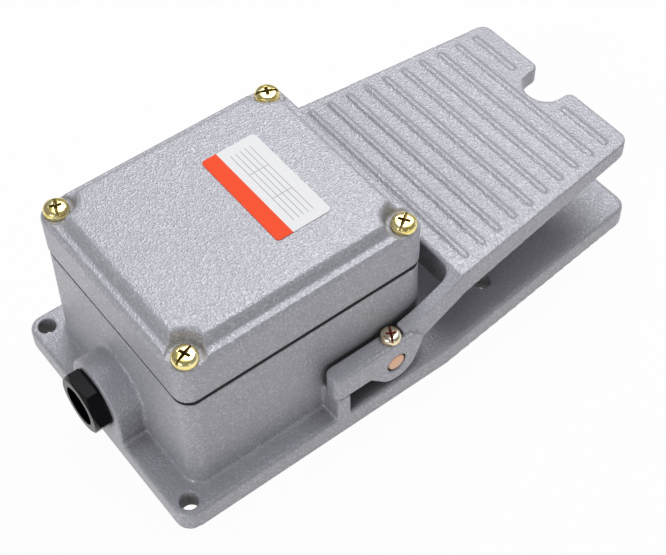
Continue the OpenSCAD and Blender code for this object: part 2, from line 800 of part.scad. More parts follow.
module strip_slots(z, side)
    translate([rod_x - wing_x, side * (strip_w / 2 + 1.5) - strip_w / 2, z]) cube([2 * wing_x, strip_w, strip_t]);

// contact strips, closed pair below and open pair above, each from the chamber out to its terminal
module fixed_contacts()
    color("#c8963e") difference() {
        for (end = [0, 1], pair = [[nc_z, -1], [no_z, 1]])
            translate([rod_x, 0, 0]) mirror([end, 0, 0])
                translate([block_l / 2 - block_wall - 3.5, pair[1] * (strip_w / 2 + 1.5) - strip_w / 2, pair[0]])
                    cube([strip_out - block_l / 2 + block_wall + 3.5, strip_w, strip_t]);
        terminal_places() translate([0, 0, -over]) cylinder(d = m3[0], h = strip_t + 2 * over);
    }

module terminal_places()
    for (end = [-1, 1], pair = [[nc_z, -1], [no_z, 1]])
        translate([rod_x + end * (strip_out - 5), pair[1] * (strip_w / 2 + 1.5), pair[0]]) children();

module terminal_screws()
    color("#c9b456") terminal_places() translate([0, 0, strip_t]) pan_screw(m3, terminal_l);

module contact_carrier()
    color("#e6e2d6") translate([rod_x, 0, 0]) difference() {
        translate([0, 0, block_z + floor_t + air]) cylinder(r = carrier_r, h = no_z - block_z - floor_t - air);
        translate([0, 0, block_z]) cylinder(r = rod_r + fit, h = nc_z - block_z);
        translate([-bridge_l, -waist_w / 2 - fit, nc_z + strip_t])
            cube([2 * bridge_l, waist_w + 2 * fit, no_z - nc_z - strip_t - carrier_cap]);
    }

// bridge with a narrow middle through the carrier and a wide pad at each end
module bridge_contact()
    color("#cf9a45") translate([rod_x, 0, nc_z + strip_t]) linear_extrude(strip_t) {
        square([bridge_l, waist_w], center = true);
        for (end = [-1, 1])
            translate([end * (bridge_l + waist_l) / 4, 0]) square([(bridge_l - waist_l) / 2, bridge_w], center = true);
    }

module contact_spring()
    color("#c4c7cc") translate([rod_x, 0, 0])
        coil(1.9, 0.35, nc_z + 2 * strip_t, no_z - carrier_cap, 3);

module block_cover()
    color("#2e221c") difference() {
        translate([rod_x - block_l / 2, -block_w / 2, block_top]) cube([block_l, block_w, cover_t]);
        block_screw_places() translate([0, 0, block_top - over]) cylinder(d = m3[0] + 0.2, h = cover_t + 2 * over);
        // the carrier rises through the cover
        translate([rod_x, 0, block_top - over]) cylinder(r = carrier_r + air, h = cover_t + 2 * over);
    }

module block_screws()
    color("#c9b456") block_screw_places() translate([0, 0, block_top + cover_t])
        pan_screw(m3, block_top + cover_t - table_z);

module earth_washer()
    color("#c8963e") translate([earth_at[0], earth_at[1], foot_z]) difference() {
        cylinder(r = boss_screw_r - air, h = earth_t);
        translate([0, 0, -over]) cylinder(d = m4[0] + air, h = earth_t + 2 * over);
    }

module earth_screw()
    color("#c9b456") translate([earth_at[0], earth_at[1], foot_z + earth_t]) pan_screw(m4, short_screw);

placed() base_casting();
placed() lid();
placed() lid_gasket();
placed() lid_screws();
placed() nameplate();
placed() gland_body();
placed() gland_washer();
placed() gland_grommet();
placed() treadle();
placed() pivot_shaft();
placed() clamp_screws();
placed() shaft_bushes();
placed() shaft_seals();
placed() drive_lever();
placed() lever_set_screw();
placed() push_rod();
placed() return_spring();
placed() spring_seat();
placed() contact_carrier();
placed() bridge_contact();
placed() contact_spring();
placed() fixed_contacts();
placed() terminal_screws();
placed() block_base();
placed() block_cover();
placed() block_screws();
placed() switch_bracket();
placed() bracket_screws();
placed() earth_screw();
placed() earth_washer();
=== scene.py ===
"""Looks of the foot switch: finishes, rounded castings, gasket, screws, shaft, spring, light and camera."""

import math

import bmesh
import bpy
from mathutils import Matrix, Vector


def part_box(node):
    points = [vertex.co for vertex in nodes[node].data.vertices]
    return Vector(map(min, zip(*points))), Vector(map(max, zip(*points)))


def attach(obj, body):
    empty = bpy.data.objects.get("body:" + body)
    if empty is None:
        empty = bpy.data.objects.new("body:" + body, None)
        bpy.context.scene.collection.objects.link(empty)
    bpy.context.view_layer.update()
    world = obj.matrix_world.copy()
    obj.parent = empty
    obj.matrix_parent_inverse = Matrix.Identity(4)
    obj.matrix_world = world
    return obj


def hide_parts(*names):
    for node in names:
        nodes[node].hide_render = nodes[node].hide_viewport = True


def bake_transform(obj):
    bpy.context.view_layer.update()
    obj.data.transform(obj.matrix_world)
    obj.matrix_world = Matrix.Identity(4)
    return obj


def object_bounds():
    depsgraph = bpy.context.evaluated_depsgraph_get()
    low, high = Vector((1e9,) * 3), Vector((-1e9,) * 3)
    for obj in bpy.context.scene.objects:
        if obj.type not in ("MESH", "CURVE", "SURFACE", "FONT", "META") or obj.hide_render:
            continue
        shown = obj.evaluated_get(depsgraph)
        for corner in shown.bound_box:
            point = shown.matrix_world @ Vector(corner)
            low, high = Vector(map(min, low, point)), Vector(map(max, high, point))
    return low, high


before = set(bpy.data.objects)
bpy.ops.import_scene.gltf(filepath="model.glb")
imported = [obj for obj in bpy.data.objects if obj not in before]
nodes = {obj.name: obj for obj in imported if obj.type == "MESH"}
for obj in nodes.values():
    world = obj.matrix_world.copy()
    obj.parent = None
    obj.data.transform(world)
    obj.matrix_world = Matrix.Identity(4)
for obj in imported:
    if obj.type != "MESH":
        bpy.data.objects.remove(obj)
cad_low, cad_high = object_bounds()

MM = 0.001
HOUSING = "housing"
TREADLE = "treadle_group"
SHAFT_LOW, SHAFT_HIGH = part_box("pivot_shaft")
SHAFT_CENTRE = Vector(((SHAFT_LOW[0] + SHAFT_HIGH[0]) / 2, 0, (SHAFT_LOW[2] + SHAFT_HIGH[2]) / 2))


# ---- shader maths ----


class Number:
    """A number that a socket carries; arithmetic on it adds Math nodes."""

    def __init__(self, paint, socket):
        self.paint = paint
        self.socket = socket

    def _math(self, operation, *terms):
        node = self.paint.node("ShaderNodeMath", {"operation": operation}, dict(enumerate(terms)))
        return Number(self.paint, node.outputs[0])

    def __add__(self, other):
        return self._math("ADD", self, other)

    __radd__ = __add__

    def __sub__(self, other):
        return self._math("SUBTRACT", self, other)

    def __rsub__(self, other):
        return self._math("SUBTRACT", other, self)

    def __mul__(self, other):
        return self._math("MULTIPLY", self, other)

    __rmul__ = __mul__

    def larger(self, other):
        return self._math("MAXIMUM", self, other)

    def magnitude(self):
        return self._math("ABSOLUTE", self)

    def root(self):
        return self._math("SQRT", self)

    def sine(self):
        return self._math("SINE", self)

    def ramp(self, start, end):
        """0 at start and before it, 1 at end and past it, smooth between; start may be the larger of the two."""
        node = self.paint.node(
            "ShaderNodeMapRange",
            {"interpolation_type": "SMOOTHSTEP"},
            {0: self, 1: start, 2: end, 3: 0.0, 4: 1.0},
        )
        return Number(self.paint, node.outputs[0])

    def within(self, low, high, edge):
        """1 between low and high, with soft edges."""
        return self.ramp(low - edge, low + edge) * self.ramp(high + edge, high - edge)


class Paint:
    """The nodes of a material or a world, written as expressions."""

    def __init__(self, owner, output="ShaderNodeOutputMaterial"):
        owner.use_nodes = True
        self.owner = owner
        self.tree = owner.node_tree
        self.tree.nodes.clear()
        self.output = self.node(output)
        self._place = None

    def node(self, kind, settings=None, sockets=None):
        """Adds a node: its settings first, then the values or links of its sockets."""
        node = self.tree.nodes.new(kind)
        for key, value in (settings or {}).items():
            setattr(node, key, value)
        for key, value in (sockets or {}).items():
            socket = node.inputs[key]
            if isinstance(value, Number):
                value = value.socket
            if isinstance(value, bpy.types.NodeSocket):
                self.tree.links.new(value, socket)
            elif isinstance(value, tuple) and socket.type == "RGBA":
                socket.default_value = (*value, 1.0)
            else:
                socket.default_value = value
        return node

    @property
    def place(self):
        """The surface point in the object's own axes, in metres."""
        if self._place is None:
            self._place = self.node("ShaderNodeTexCoord").outputs["Object"]
        return self._place

    def axes(self):
        """The three coordinates of the surface point."""
        split = self.node("ShaderNodeSeparateXYZ", {}, {0: self.place})
        return [Number(self, out) for out in split.outputs]

    def stretched(self, x, y, z):
        """The surface point with its axes scaled."""
        return self.node("ShaderNodeVectorMath", {"operation": "MULTIPLY"}, {0: self.place, 1: (x, y, z)}).outputs[0]

    def leaning(self, per_metre, reach):
        """The surface point pushed aside by a soft noise, by up to reach along each axis."""
        noise = self.node("ShaderNodeTexNoise", {}, {"Vector": self.place, "Scale": per_metre, "Detail": 1.0})
        push = self.node("ShaderNodeVectorMath", {"operation": "SCALE"}, {0: noise.outputs["Color"], "Scale": reach})
        return self.node("ShaderNodeVectorMath", {"operation": "ADD"}, {0: self.place, 1: push.outputs[0]}).outputs[0]

    def noise(self, per_metre, detail=3.0, roughness=0.55, at=None):
        """Cloudy noise from 0 to 1, with so many features to the metre."""
        sockets = {"Vector": at or self.place, "Scale": per_metre, "Detail": detail, "Roughness": roughness}
        return Number(self, self.node("ShaderNodeTexNoise", {}, sockets).outputs["Fac"])

    def dimples(self, per_metre, softness, at):
        """Distance to the nearest of many scattered points, softened where their cells meet."""
        sockets = {"Vector": at, "Scale": per_metre, "Smoothness": softness}
        return Number(self, self.node("ShaderNodeTexVoronoi", {"feature": "SMOOTH_F1"}, sockets).outputs["Distance"])

    def blend(self, factor, first, second):
        """A colour between two others: the first where factor is 0, the second where it is 1."""
        return self.node("ShaderNodeMix", {"data_type": "RGBA"}, {0: factor, 6: first, 7: second}).outputs[2]

    def soft_edges(self, radius):
        """Surface normal with the sharp edges rounded off."""
        return self.node("ShaderNodeBevel", {"samples": 6}, {"Radius": radius}).outputs[0]

    def rise(self):
        """How far the surface faces up: 1 on a level face, 0 on a wall and -1 underneath."""
        normal = self.node("ShaderNodeNewGeometry").outputs["Normal"]
        return Number(self, self.node("ShaderNodeSeparateXYZ", {}, {0: normal}).outputs["Z"])

    def openness(self, reach):
        """1 on open faces, falling towards 0 where other surfaces within reach close in."""
        node = self.node("ShaderNodeAmbientOcclusion", {"samples": 8}, {"Distance": reach})
        return Number(self, node.outputs["AO"])

    def bump(self, height, depth, normal=None):
        """The surface normal tilted by a height of up to depth."""
        sockets = {"Height": height, "Distance": depth, "Strength": 1.0}
        if normal is not None:
            sockets["Normal"] = normal
        return self.node("ShaderNodeBump", {}, sockets).outputs[0]

    def show(self, shader):
        """Links a shader to the output and gives the finished material or world."""
        self.tree.links.new(shader.outputs[0], self.output.inputs[0])
        return self.owner

    def surface(self, **sockets):
        """Shows a Principled surface; the words are its sockets, with _ for a space."""
        named = {word.replace("_", " "): value for word, value in sockets.items()}
        return self.show(self.node("ShaderNodeBsdfPrincipled", {}, named))


def toned(colour, share):
    """A colour made darker, or paler where share is over 1."""
    return tuple(part * share for part in colour)


# ---- finishes ----

GREY = (0.415, 0.412, 0.455)
# painted highlight: the paler grey on the wrinkle crests stands for the glints of the flakes
GREY_CREST_HIGHLIGHT = (0.58, 0.58, 0.62)
# painted shade in the wrinkle valleys; also the darker tone of the slow random drift
GREY_SHADE_AND_DRIFT = (0.31, 0.308, 0.345)
# painted shade: the near-black brown the enamel is darkened towards where nearby faces close in
PAINTED_CORNER_SHADE = (0.060, 0.058, 0.056)
PAINTED_SHADE_REACH = 34 * MM
WRINKLES_PER_METRE = 1400.0
WRINKLE_LEAN = 0.9 * MM
WRINKLE_DEPTH = 0.20 * MM

ROSE = (0.86, 0.50, 0.34)

COPPER = (0.80, 0.42, 0.26)
DULL_COPPER = (0.72, 0.50, 0.36)
TURNING_PITCH = 0.42 * MM

LABEL_WHITE = (0.82, 0.82, 0.83)
LABEL_SOILED = (0.74, 0.74, 0.75)
LABEL_ORANGE = (0.92, 0.066, 0.008)
RULE_GREY = (0.26, 0.26, 0.30)
BAND_END = 0.284
RULES_ALONG = (0.43, 0.52, 0.61, 0.70, 0.79)
RULES_ACROSS = (0.36, 0.66)


def hammered_enamel(name):
    """Grey hammer finish: small soft wrinkles with a painted highlight on their crests and painted shade between
    them, both stronger on walls, and painted shade where faces close in.
    """
    paint = Paint(bpy.data.materials.new(name))
    at = paint.leaning(WRINKLES_PER_METRE * 0.5, WRINKLE_LEAN)
    dimples = paint.dimples(WRINKLES_PER_METRE, 0.5, at)
    wrinkles = paint.noise(WRINKLES_PER_METRE * 0.8, detail=2.0, roughness=0.5, at=at)
    fine = paint.noise(WRINKLES_PER_METRE * 3.0, detail=1.0)
    height = dimples * 0.75 + wrinkles + fine * 0.12
    drift = paint.noise(18.0)
    crest, valley_shade = height.ramp(0.92, 1.22), height.ramp(0.80, 0.55)
    wall = paint.rise().magnitude().ramp(0.85, 0.35)
    # painted shade: ambient occlusion within the reach darkens the enamel's colour, and roughens it, in corners,
    # recesses and between parts
    painted_shade = paint.openness(PAINTED_SHADE_REACH).ramp(0.52, 0.14)
    # painted highlight on the crests and painted shade in the valleys, both stronger on walls than on level faces
    colour = paint.blend(crest * (0.45 + wall * 0.45), GREY, GREY_CREST_HIGHLIGHT)
    colour = paint.blend(valley_shade * (0.30 + wall * 0.45), colour, GREY_SHADE_AND_DRIFT)
    colour = paint.blend(drift.ramp(0.35, 0.75) * 0.08, colour, GREY_SHADE_AND_DRIFT)
    colour = paint.blend(painted_shade * 0.85, colour, PAINTED_CORNER_SHADE)
    return paint.surface(
        Base_Color=colour,
        Metallic=0.22,
        Roughness=0.38 + (drift - 0.5) * 0.08 - crest * 0.08 + painted_shade * 0.2,
        Normal=paint.bump(height, WRINKLE_DEPTH),
    )


def yellow_zinc(name, gold, pale, olive):
    """Yellow chromate on steel: a gold that drifts to a paler one, to olive and to rose; the olive is partly the
    chromate's own tint and partly a painted dark reflection.
    """
    paint = Paint(bpy.data.materials.new(name))
    drift = paint.noise(420.0, detail=2.0)
    scuffs = paint.noise(2600.0, detail=2.0)
    rosy = paint.noise(310.0, detail=1.0).ramp(0.58, 0.70)
    colour = paint.blend(drift.ramp(0.40, 0.62), gold, pale)
    # partly painted reflection: the olive patches stand in part for dark reflections on the heads
    colour = paint.blend(drift.ramp(0.40, 0.28) * 0.7, colour, olive)
    colour = paint.blend(rosy * 0.35, colour, ROSE)
    return paint.surface(
        Base_Color=colour,
        Metallic=1.0,
        Roughness=0.12 + scuffs * 0.16,
        Normal=paint.bump(scuffs, 0.012 * MM),
    )


def recess_colouring(name, colour, metallic):
    """Colour for the bottom of a screw's recess, one colour with darker patches: painted shade in the lid screws and
    red lacquer in the clamp screws.
    """
    paint = Paint(bpy.data.materials.new(name))
    patches = paint.noise(1900.0, detail=2.0)
    return paint.surface(
        Base_Color=paint.blend(patches.ramp(0.35, 0.65), colour, toned(colour, 0.35)),
        Metallic=metallic,
        Roughness=0.42 + (patches - 0.5) * 0.3,
        Normal=paint.bump(patches, 0.05 * MM),
    )


def plain_metal(name, colour, roughness, edge=0.3 * MM):
    """Bare metal with long fine marks and worked edges."""
    paint = Paint(bpy.data.materials.new(name))
    marks = paint.noise(1800.0, detail=2.0, at=paint.stretched(1.0, 1.0, 0.15))
    return paint.surface(
        Base_Color=paint.blend(marks.ramp(0.3, 0.8) * 0.35, colour, toned(colour, 0.72)),
        Metallic=1.0,
        Roughness=roughness + (marks - 0.5) * 0.15,
        Normal=paint.bump(marks, 0.01 * MM, paint.soft_edges(edge)),
    )


def moulding(name, colour, roughness, grain=900.0, depth=0.02 * MM, specular=0.5):
    """Moulded plastic or rubber: a fine speckle, paler in drifts, with softened edges."""
    paint = Paint(bpy.data.materials.new(name))
    speckle = paint.noise(grain)
    drift = paint.noise(60.0)
    return paint.surface(
        Base_Color=paint.blend(drift.ramp(0.3, 0.7) * 0.3, colour, toned(colour, 1.6)),
        Roughness=roughness + (speckle - 0.5) * 0.15,
        Specular_IOR_Level=specular,
        Normal=paint.bump(speckle, depth, paint.soft_edges(0.4 * MM)),
    )


def copper_pin(name):
    """Turned end of the pivot shaft: coppery, with fine rings about its axis."""
    paint = Paint(bpy.data.materials.new(name))
    x, _, z = paint.axes()
    dx, dz = x - SHAFT_CENTRE.x, z - SHAFT_CENTRE.z
    rings = ((dx * dx + dz * dz).root() * (2 * math.pi / TURNING_PITCH)).sine()
    blotch = paint.noise(700.0)
    return paint.surface(
        Base_Color=paint.blend(blotch.ramp(0.35, 0.7), COPPER, DULL_COPPER),
        Metallic=0.75,
        Roughness=0.42 + (blotch - 0.5) * 0.2,
        Normal=paint.bump(rings * 0.5 + blotch * 0.6, 0.02 * MM),
    )


def printed_label(name):
    """White film with an orange-red band along one long edge and thin grey rules; nothing is written on it."""
    paint = Paint(bpy.data.materials.new(name))
    x, y, _ = paint.axes()
    low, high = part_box("nameplate")
    along = (x - low[0]) * (1 / (high[0] - low[0]))
    across = (y - low[1]) * (1 / (high[1] - low[1]))
    rows = across.within(0.09, 0.91, 0.003)
    columns = along.within(RULES_ALONG[0], RULES_ALONG[-1], 0.004)
    lines = [(along - at).magnitude().ramp(0.010, 0.004) * rows for at in RULES_ALONG]
    lines += [(across - at).magnitude().ramp(0.005, 0.002) * columns for at in RULES_ACROSS]
    rules = lines[0]
    for line in lines[1:]:
        rules = rules.larger(line)
    soil = paint.noise(500.0)
    colour = paint.blend(soil.ramp(0.4, 0.8) * 0.15, LABEL_WHITE, LABEL_SOILED)
    colour = paint.blend(rules * 0.7, colour, RULE_GREY)
    colour = paint.blend(along.ramp(BAND_END + 0.004, BAND_END - 0.004), colour, LABEL_ORANGE)
    return paint.surface(Base_Color=colour, Roughness=0.62 + (soil - 0.5) * 0.1, Specular_IOR_Level=0.3)


enamel = hammered_enamel("hammered_grey_enamel")
zinc = yellow_zinc("yellow_zinc_screws", (0.95, 0.76, 0.25), (0.97, 0.89, 0.47), (0.50, 0.43, 0.13))
worn_zinc = yellow_zinc("worn_zinc_screws", (0.92, 0.78, 0.50), (0.95, 0.89, 0.72), (0.50, 0.30, 0.16))
# painted shade: a dark brown laid in the lid screws' cross and slot stands for the shade inside them
painted_recess_shade = recess_colouring("painted_recess_shade", (0.30, 0.21, 0.07), 0.8)
red_recess = recess_colouring("red_lacquer_recess", (0.42, 0.07, 0.035), 0.0)
black_nylon = moulding("black_nylon", (0.002, 0.002, 0.004), 0.22, grain=1500.0, depth=0.01 * MM, specular=0.12)
black_rubber = moulding("black_rubber", (0.005, 0.005, 0.006), 0.62, specular=0.2)
phenolic = moulding("brown_phenolic", (0.055, 0.032, 0.022), 0.40)
cream = moulding("cream_carrier", (0.72, 0.69, 0.60), 0.42)
brass = plain_metal("contact_brass", (0.78, 0.52, 0.22), 0.28)
bronze = plain_metal("sintered_bronze", (0.55, 0.37, 0.20), 0.5)
bright_steel = plain_metal("bright_steel", (0.58, 0.58, 0.60), 0.3)
spring_steel = plain_metal("spring_wire", (0.62, 0.62, 0.64), 0.25, edge=0.1 * MM)
dark_steel = plain_metal("blackened_steel", (0.16, 0.16, 0.17), 0.4)
label = printed_label("printed_label")
pin_copper = copper_pin("coppery_pin")

FINISHES = {
    "base_casting": enamel,
    "lid": enamel,
    "treadle": enamel,
    "lid_gasket": black_rubber,
    "lid_screws": zinc,
    "nameplate": label,
    "gland_body": black_nylon,
    "gland_washer": black_rubber,
    "gland_grommet": black_rubber,
    "pivot_shaft": pin_copper,
    "clamp_screws": zinc,
    "shaft_bushes": bronze,
    "shaft_seals": black_rubber,
    "drive_lever": bright_steel,
    "lever_set_screw": dark_steel,
    "push_rod": bright_steel,
    "return_spring": spring_steel,
    "spring_seat": bright_steel,
    "contact_carrier": cream,
    "bridge_contact": brass,
    "contact_spring": spring_steel,
    "fixed_contacts": brass,
    "terminal_screws": zinc,
    "block_base": phenolic,
    "block_cover": phenolic,
    "block_screws": zinc,
    "switch_bracket": bright_steel,
    "bracket_screws": zinc,
    "earth_screw": zinc,
    "earth_washer": brass,
}


# ---- pieces that stand for nodes ----


def coat(piece, material):
    """Puts one material on every slot of a piece."""
    slots = piece.data.materials
    if not slots:
        slots.append(material)
    for i in range(len(slots)):
        slots[i] = material


def add_object(name, data):
    """Puts a mesh, a lamp or a camera in the scene."""
    piece = bpy.data.objects.new(name, data)
    bpy.context.scene.collection.objects.link(piece)
    return piece


def mesh_of(work, name):
    """Turns a bmesh into a mesh and frees it."""
    mesh = bpy.data.meshes.new(name)
    work.to_mesh(mesh)
    work.free()
    return mesh


def settle(piece):
    """Applies a piece's modifiers to its mesh."""
    shaped = piece.evaluated_get(bpy.context.evaluated_depsgraph_get())
    mesh = bpy.data.meshes.new_from_object(shaped)
    piece.modifiers.clear()
    piece.data = mesh
    return mesh


def stand_for(piece, node_name):
    """The piece shows in a node's place, with the node hidden, in the node's finish if it has none of its own."""
    if not piece.data.materials:
        coat(piece, FINISHES[node_name])
    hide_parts(node_name)


# ---- castings and gasket ----

CASTING_KEPT_FACES = 0.6
ARM_FOOT_RUN = 26 * MM
ARM_FOOT_KEPT = 0.30
EAR_TOP = SHAFT_CENTRE.z + 10.7 * MM
GASKET_CORNER = 4.4 * MM
GASKET_OUTLINE_DEPTH = 0.15 * MM


def casting(node_name, body, grain, passes, shape=None):
    """A node's own form as it comes from the mould: edges rounded over and inner corners filled.

    grain is the size of the remesh and passes says how often it is smoothed. shape, if given, moves each point.
    """
    mesh = nodes[node_name].data.copy()
    work = bmesh.new()
    work.from_mesh(mesh)
    bmesh.ops.remove_doubles(work, verts=work.verts, dist=0.002 * MM)
    work.to_mesh(mesh)
    work.free()
    piece = add_object(node_name + "_skin", mesh)
    voxels = piece.modifiers.new("voxels", "REMESH")
    voxels.mode = "VOXEL"
    voxels.voxel_size = grain
    soften = piece.modifiers.new("soften", "SMOOTH")
    soften.factor = 0.5
    soften.iterations = passes
    piece.modifiers.new("thin", "DECIMATE").ratio = CASTING_KEPT_FACES
    mesh = settle(piece)
    for vertex in mesh.vertices if shape else ():
        vertex.co = shape(vertex.co)
    mesh.shade_smooth()
    stand_for(piece, node_name)
    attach(piece, body)


def arm_feet(point):
    """The treadle's arms run down into the ears beside the clamp screws instead of ending in a step."""
    past_shaft = point.x - SHAFT_HIGH[0]
    if point.z <= EAR_TOP or past_shaft > ARM_FOOT_RUN:
        return point
    kept = ARM_FOOT_KEPT + (1 - ARM_FOOT_KEPT) * max(0.0, past_shaft / ARM_FOOT_RUN)
    return Vector((point.x, point.y, EAR_TOP + (point.z - EAR_TOP) * kept))


def wide_gasket(proud):
    """The gasket as it squeezes out: its outer outline moved out by proud."""
    mesh = nodes["lid_gasket"].data.copy()
    low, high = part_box("lid_gasket")
    centre = [(low[k] + high[k]) / 2 for k in (0, 1)]
    half = [(high[k] - low[k]) / 2 for k in (0, 1)]
    for vertex in mesh.vertices:
        away = [vertex.co[k] - centre[k] for k in (0, 1)]
        past = [max(0.0, abs(away[k]) - half[k] + GASKET_CORNER) for k in (0, 1)]
        reach = math.hypot(*past)
        if reach > GASKET_CORNER - GASKET_OUTLINE_DEPTH:
            for k in (0, 1):
                vertex.co[k] += math.copysign(past[k] / reach * proud, away[k])
    piece = add_object("squeezed_gasket", mesh)
    stand_for(piece, "lid_gasket")
    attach(piece, HOUSING)


# ---- screws, shaft and spring ----

# Crown of a pan head, as shares of its radius and height.
PAN_CROWN = ((1.0, 0.28), (0.985, 0.5), (0.93, 0.70), (0.83, 0.84), (0.66, 0.93), (0.40, 0.985), (0, 1.0))
# Half length at the top and at the bottom, half width and depth, as shares of the head's radius and height.
SLOT = (1.3, 1.3, 0.12, 0.44)
WING = (0.56, 0.18, 0.14, 0.72)
WEDGE_FACES = ((3, 2, 1, 0), (4, 5, 6, 7), (0, 1, 5, 4), (1, 2, 6, 5), (2, 3, 7, 6), (3, 0, 4, 7))
QUARTER = Matrix.Rotation(math.pi / 2, 3, "Z")


def turned(profile, steps=48):
    """Closed bmesh of a profile of (radius, height) points, from the bottom's centre to the top's, turned about Z."""
    work = bmesh.new()
    angles = [2 * math.pi * i / steps for i in range(steps)]
    rings = []
    for radius, height in profile:
        if radius == 0:
            rings.append([work.verts.new((0, 0, height))])
        else:
            rings.append([work.verts.new((radius * math.cos(a), radius * math.sin(a), height)) for a in angles])
    for below, above in zip(rings, rings[1:]):
        for i in range(steps):
            j = (i + 1) % steps
            if len(below) == 1:
                work.faces.new((below[0], above[j], above[i]))
            elif len(above) == 1:
                work.faces.new((below[i], below[j], above[0]))
            else:
                work.faces.new((below[i], below[j], above[j], above[i]))
    return work


def wedge(work, head_r, head_h, shares):
    """Adds a block that narrows downwards from above the head to some depth in it, and gives its corners."""
    half_top, half_bottom, half_width = (head_r * share for share in shares[:3])
    top, bottom = head_h + 0.4 * MM, head_h * (1 - shares[3])
    corners = []
    for half_length, half_across, z in ((half_bottom, half_width * 0.7, bottom), (half_top, half_width, top)):
        for along, across in ((-1, -1), (1, -1), (1, 1), (-1, 1)):
            corners.append(work.verts.new((along * half_length, across * half_across, z)))
    for face in WEDGE_FACES:
        work.faces.new([corners[k] for k in face])
    return corners


def recess_cutter(head_r, head_h):
    """Cross recess with tapered wings, and the slot across the head."""
    work = bmesh.new()
    wedge(work, head_r, head_h, SLOT)
    wedge(work, head_r, head_h, WING)
    bmesh.ops.rotate(work, verts=wedge(work, head_r, head_h, WING), cent=(0, 0, 0), matrix=QUARTER)
    return work


def pan_head(name, head_r, head_h, shank_r, shank_l, finish, film):
    """Mesh of a pan-head screw with its seat at the origin; film colours its recess, as painted shade in the lid
    screws and as red lacquer in the clamp screws.
    """
    shank = [(0, -shank_l), (shank_r, -shank_l), (shank_r, 0)]
    head = [(0.96 * head_r, 0), (head_r, 0.05 * head_h)] + [(r * head_r, h * head_h) for r, h in PAN_CROWN]
    blank = add_object(name + "_blank", mesh_of(turned(shank + head), name))
    cutter = add_object(name + "_cutter", mesh_of(recess_cutter(head_r, head_h), name + "_cutter"))
    for piece in (blank, cutter):
        for material in (finish, film):
            piece.data.materials.append(material)
    for face in cutter.data.polygons:
        face.material_index = 1
    cut = blank.modifiers.new("recess", "BOOLEAN")
    cut.operation = "DIFFERENCE"
    cut.solver = "EXACT"
    cut.use_self = True
    cut.object = cutter
    soften = blank.modifiers.new("soften", "BEVEL")
    soften.width = 0.1 * MM
    soften.segments = 2
    soften.limit_method = "ANGLE"
    soften.angle_limit = math.radians(40)
    mesh = settle(blank)
    for spare in (blank, cutter):
        bpy.data.objects.remove(spare)
    mesh.shade_smooth()
    return mesh


def screw_set(name, node_name, body, mesh, places):
    """One piece that holds a screw at each (place, turn in degrees)."""
    work = bmesh.new()
    for place, turn in places:
        first = len(work.verts)
        work.from_mesh(mesh)
        work.verts.ensure_lookup_table()
        at = Matrix.Translation(place) @ Matrix.Rotation(math.radians(turn), 4, "Z")
        bmesh.ops.transform(work, matrix=at, verts=work.verts[first:])
    piece = add_object(name, mesh_of(work, name))
    piece.data.shade_smooth()
    for material in mesh.materials:
        piece.data.materials.append(material)
    stand_for(piece, node_name)
    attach(piece, body)


def lid_screws():
    """A screw in each pocket of the lid, each left at its own turn."""
    low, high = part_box("lid_screws")
    head_r, head_h = 4.5 * MM, 3.2 * MM
    seat = high[2] - head_h
    west, east, south, north = low[0] + head_r, high[0] - head_r, low[1] + head_r, high[1] - head_r
    mesh = pan_head("lid_screw", head_r, head_h, shank_r=2.45 * MM, shank_l=12 * MM, finish=zinc, film=painted_recess_shade)
    turns = {(west, south): 21, (east, south): 33, (west, north): 68, (east, north): -24}
    screw_set("lid_screw_set", "lid_screws", HOUSING, mesh, [((*at, seat), turn) for at, turn in turns.items()])


def clamp_screws():
    """The screw that clamps each ear to the shaft, with red lacquer in its recess."""
    low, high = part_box("clamp_screws")
    head_r, head_h = 3.8 * MM, 2.8 * MM
    seat, x = high[2] - head_h, (low[0] + high[0]) / 2
    mesh = pan_head(
        "clamp_screw", head_r, head_h, shank_r=1.95 * MM, shank_l=6.5 * MM, finish=worn_zinc, film=red_recess
    )
    places = [((x, low[1] + head_r, seat), 62), ((x, high[1] - head_r, seat), 10)]
    screw_set("clamp_screw_set", "clamp_screws", TREADLE, mesh, places)


def pivot_pin():
    """The pivot shaft with its turned-down, coppery ends near the faces of the ears."""
    radius, end = (SHAFT_HIGH[0] - SHAFT_LOW[0]) / 2, SHAFT_HIGH[1] + 1.0 * MM
    neck = radius - 0.6 * MM
    half = [(radius, end - 1.6 * MM), (neck, end - 1.3 * MM), (neck, end - 0.25 * MM), (neck - 0.25 * MM, end)]
    profile = [(0, -end)] + [(r, -h) for r, h in reversed(half)] + half + [(0, end)]
    work = turned(profile, 64)
    bmesh.ops.rotate(work, verts=work.verts, cent=(0, 0, 0), matrix=Matrix.Rotation(math.pi / 2, 3, "X"))
    bmesh.ops.translate(work, verts=work.verts, vec=SHAFT_CENTRE)
    piece = add_object("pivot_pin", mesh_of(work, "pivot_pin"))
    piece.data.shade_smooth()
    piece.data.set_sharp_from_angle(angle=math.radians(35))
    stand_for(piece, "pivot_shaft")
    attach(piece, TREADLE)


def squeezed_spring():
    """The return spring: a copy of the node's mesh that shows in its place, with its placement baked into its points.
    """
    piece = add_object("return_spring_coil", nodes["return_spring"].data.copy())
    stand_for(piece, "return_spring")
    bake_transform(piece)


# ---- floor, light and camera ----

ROOM_LIGHT = 0.30
ROOM_TINT = (0.95, 0.965, 1.0)
WHITE_SHARE = 0.96
FLOOR_HALF = 4.0
FLOOR_CLEARANCE = 0.02 * MM
LAMP_TARGET = Vector((0.0, 0.0, 0.03))

CAMERA_TARGET = Vector((-12.65, -15.02, 31.38)) * MM
CAMERA_DISTANCE = 517.9 * MM
CAMERA_AZIMUTH = math.radians(-36.547)
CAMERA_ELEVATION = math.radians(51.552)
CAMERA_ROLL = math.radians(-1.368)
CAMERA_LENS = 78.63
CAMERA_SENSOR = 36.0


